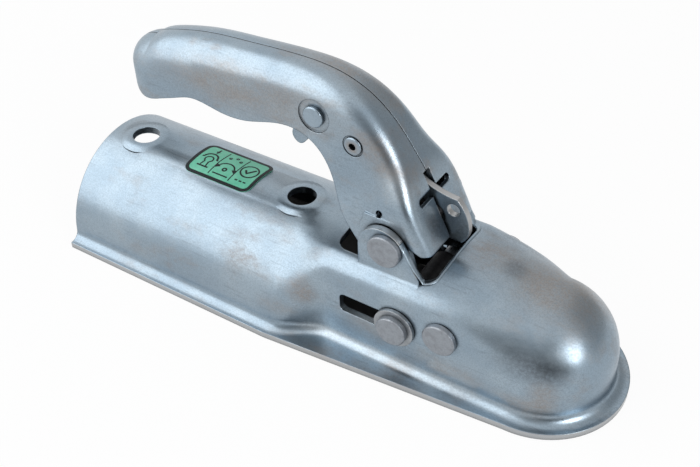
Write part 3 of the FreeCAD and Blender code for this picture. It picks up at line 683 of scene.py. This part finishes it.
def add_ball_and_cup(mesh, x, y):
    """A tow ball under the cup of a coupling."""
    add_stroke(mesh, arc((x, y - 1.4), 2.0, -58, 238, 22), (0.7,))
    for side in (-1, 1):
        add_stroke(mesh, line((x + side * 1.06, y - 3.1), (x + side * 1.5, y - 5.9)), (0.65,))
    add_stroke(mesh, line((x - 3.0, y - 6.4), (x + 3.0, y - 6.4)), (0.8,))
    cup = [(x - 4.3, y - 0.6)] + arc((x, y - 0.6), 3.5, 176, 4, 18) + [(x + 4.3, y - 0.6)]
    add_stroke(mesh, cup, (0.9,))


def add_circle(mesh, centre, radius, width, steps):
    """A stroke that runs round a circle."""
    add_stroke(mesh, arc(centre, radius, 0, 360, steps)[:-1], (width,), closed=True)


def add_swing(mesh, x, y):
    """A double arrow over a pivot, with a bar below and three dots above."""
    add_arrow(mesh, arc((x, y), 4.4, 20, 160, 16), 0.75, 2.3, both=True)
    add_circle(mesh, (x, y), 0.9, 0.8, 14)
    add_stroke(mesh, line((x - 4.0, y - 3.6), (x + 4.0, y - 3.6)), (0.7,))
    for across, rise in ((-2.8, 8.2), (0.0, 9.8), (2.8, 8.2)):
        add_circle(mesh, (x + across, y + rise), 0.55, 0.6, 10)


def add_tick(mesh, x, y):
    """A tick in a ring, with three dashes below."""
    add_circle(mesh, (x, y), 4.1, 0.75, 34)
    low_point = (x - 0.5, y - 1.9)
    tick = line((x - 2.1, y + 0.2), low_point) + line(low_point, (x + 2.2, y + 2.2))[1:]
    add_stroke(mesh, tick, (0.95,))
    for column in range(3):
        dash = x - 2.8 + column * 2.2
        add_stroke(mesh, line((dash, y - 7.2), (dash + 1.4, y - 7.2)), (0.75,))


def add_label_ink():
    """The border, the lines between the panels and a picture in each panel."""
    piece = bpy.data.objects.new("label_ink", bpy.data.meshes.new("label_ink"))
    bpy.context.scene.collection.objects.link(piece)
    mesh = bmesh.new()
    half = ((label_end - label_start) / 2 / mm, (label_far - label_near) / 2 / mm)
    inset = label_border / 2 + 0.05
    low = (inset - half[0], inset - half[1])
    high = (half[0] - inset, half[1] - inset)
    add_stroke(mesh, round_frame(low, high, label_corner - inset), (label_border,), closed=True)
    for x in panel_lines:
        add_stroke(mesh, line((x, -panel_half_height), (x, panel_half_height)), (0.5,))
    add_ball_and_cup(mesh, ball_panel, 0.6)
    add_arrow(mesh, line((ball_panel, 8.3), (ball_panel, 6.2)), 0.8, 2.0)
    add_swing(mesh, swing_panel, -3.4)
    add_tick(mesh, tick_panel, 1.0)
    bmesh.ops.recalc_face_normals(mesh, faces=mesh.faces)
    mesh.to_mesh(piece.data)
    mesh.free()
    piece.data.materials.append(label_ink())
    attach(piece, "housing")


make_camera()
make_floor()
make_world()
area_light("softbox", azimuth=-142, elevation=40, distance=1.1, size=(1.7, 1.45), radiance=1.45)
area_light("front_lamp", azimuth=-18, elevation=28, distance=1.0, size=(0.46, 0.5), radiance=5.6)

# Stains on the zinc, and spots of painted highlight and painted shade: spot and radii in mm, strength,
# how far it spreads, colour
housing_stains_and_painted_light = (
    ((-32, -30, 30), (20, 14, 16), 0.6, 0.1, stain_zinc),
    ((92, 6, 42), (34, 26, 16), 0.95, 0.4, warm_zinc),
    ((62, 6, 45), (16, 20, 8), 0.7, 0.25, brown_zinc),
    ((104, 16, 34), (14, 14, 12), 0.7, 0.3, brown_zinc),
    ((-60, -37, 14), (45, 8, 8), 0.45, 0.05, brown_zinc),
    # Painted highlight along the near fillet above the flange
    ((20, -31, 6), (95, 6, 4.5), 0.8, 0.5, painted_highlight_zinc),
    # Painted shade: a dark band on the near side of the hood
    ((96, -24, 27), (26, 9, 9), 0.9, 0.55, dark_grain_and_shade_zinc),
    # Painted highlight on the near side of the neck
    ((5, -30, 7), (15, 6, 8), 0.7, 0.5, painted_highlight_zinc),
    ((32, -29, 15), (18, 6, 9), 0.75, 0.3, warm_zinc),
    ((64, -29, 12), (24, 6, 9), 0.6, 0.3, warm_zinc),
    ((97, -27, 10), (22, 8, 7), 0.8, 0.3, warm_zinc),
    ((20, -40, 2), (70, 8, 4), 0.6, 0.15, brown_zinc),
    ((-2, -32, 24), (9, 8, 11), 0.8, 0.25, brown_zinc),
    ((-12, -35, 14), (14, 7, 6), 0.6, 0.3, warm_zinc),
    ((43, -33, 4), (10, 8, 8), 0.75, 0.3, brown_zinc),
    ((102, -26, 17), (9, 7, 9), 0.75, 0.3, brown_zinc),
    ((74, 4, 45), (7, 9, 6), 0.7, 0.3, dark_grain_and_shade_zinc),
    ((70, -29, 8), (9, 7, 5), 0.6, 0.3, pale_zinc),
)

# Where the edges of the housing are softer: spot and radii in mm, and millimetres more
housing_blends = (
    ((72, -20, 28), (20, 18, 22), 3.0),
    ((72, 20, 28), (20, 18, 22), 3.0),
    ((24, -24, 46), (34, 8, 5), 1.3),
    ((24, 24, 46), (34, 8, 5), 1.3),
)

catch_stains_and_painted_shade = (
    # Painted shade on the lower side of the fin
    ((52, -2, 58), (14, 8, 10), 0.8, 0.6, dark_grain_and_shade_zinc),
    ((48, -3, 66), (11, 6, 12), 0.9, 0.7, dark_grain_and_shade_zinc),
    ((-8, 0, 80), (14, 6, 10), 0.85, 0.5, warm_zinc),
)
rivet_stains = (
    ((12.35, -14, 89.6), (3.6, 3, 3.6), 0.9, 0.7, brown_zinc),
    ((12.35, 14, 89.6), (3.6, 3, 3.6), 0.9, 0.7, brown_zinc),
)
handle_stains_and_painted_light = (
    # Darker on the lower front panel of the arms
    ((47, 0, 55), (8, 15, 14), 0.85, 0.6, dark_grain_and_shade_zinc),
    ((47, -7, 62), (8, 9, 13), 0.9, 0.7, dark_grain_and_shade_zinc),
    ((18, -14, 92), (14, 6, 9), 0.5, 0.3, brown_zinc),
    ((-40, -14, 97), (64, 10, 16), 0.8, 0.35, warm_zinc),
    # Painted highlight along the near ridge of the arm
    ((34, -15, 79), (10, 5, 14), 0.8, 0.6, painted_highlight_zinc),
    ((0, 4, 108), (50, 14, 14), 0.8, 0.3, warm_zinc),
    ((30, -10, 88), (20, 14, 20), 0.6, 0.2, brown_zinc),
    ((16, -19, 80), (16, 6, 14), 0.5, 0.15, brown_zinc),
)

zinc_housing = zinc("zinc_housing", 0.0, housing_stains_and_painted_light, edge_band=sheet_edge, inside=painted_inner_shade,
                    blends=housing_blends)
zinc_handle = zinc("zinc_handle", 21.0, handle_stains_and_painted_light, warmth=0.6, inside=seam_and_inner_shade, bevel=0.7)
zinc_catch = zinc("zinc_catch", 37.0, catch_stains_and_painted_shade, warmth=0.6, rough=0.38, edge_band=plate_edge,
                  bevel=0.7)
zinc_lip = zinc("zinc_lip", 51.0, warmth=0.5, rough=0.3, grain=0.6, bevel=0.1)
zinc_rivet = zinc("zinc_rivet", 43.0, rivet_stains, warmth=0.8, rough=0.34, grain=0.5)
pin_steel = steel("pin_steel", 3.0, pin_grey, pin_dark, rough=0.42)
washer_steel = steel("washer_steel", 13.0, washer_grey, washer_dark, rough=0.36)
shaded_inner_steel = steel("shaded_inner_steel", 23.0, painted_shade_inner_grey, painted_shade_inner_dark, rough=0.5)
finishes = {
    "housing_shell": zinc_housing,
    "instruction_label": label_film(),
    "handle_left": zinc_handle,
    "handle_right": zinc_handle,
    "safety_catch": zinc_catch,
    "catch_rivet": zinc_rivet,
    "stop_rivet": zinc_rivet,
    "handle_pin": pin_steel,
    "slide_pin": pin_steel,
    "jaw_pin": pin_steel,
    "slide_washer_left": washer_steel,
    "slide_washer_right": washer_steel,
}
for name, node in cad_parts.items():
    for slot in node.material_slots:
        slot.material = finishes.get(name, shaded_inner_steel)

# Where the shading is calmed: the nose, the pads round the two bolt holes, and the rear end of
# each half shell. Low and high corner, reach and fade in mm, and likeness
nose = ((42, -40, 7), (130, 40, 60), 9.0, 6.0, 0.75)
rear_pad = ((-125, -18, 34), (-92, 18, 60), 4.0, 3.0, 0.4)
front_pad = ((-38, -18, 34), (-2, 18, 60), 4.0, 3.0, 0.4)
left_rear_end = ((-130, -30, 50), (-60, 0.5, 120), 7.0, 5.0, 0.75)
right_rear_end = ((-130, -0.5, 50), (-60, 30, 120), 7.0, 5.0, 0.75)

add_label_ink()
add_window_lip()
calm("housing_shell", "pressed_housing", "housing", (nose, rear_pad, front_pad))
calm("handle_left", "handle_shell_left", "handle", (left_rear_end,))
calm("handle_right", "handle_shell_right", "handle", (right_rear_end,))

bpy.context.scene.view_settings.view_transform = "Standard"
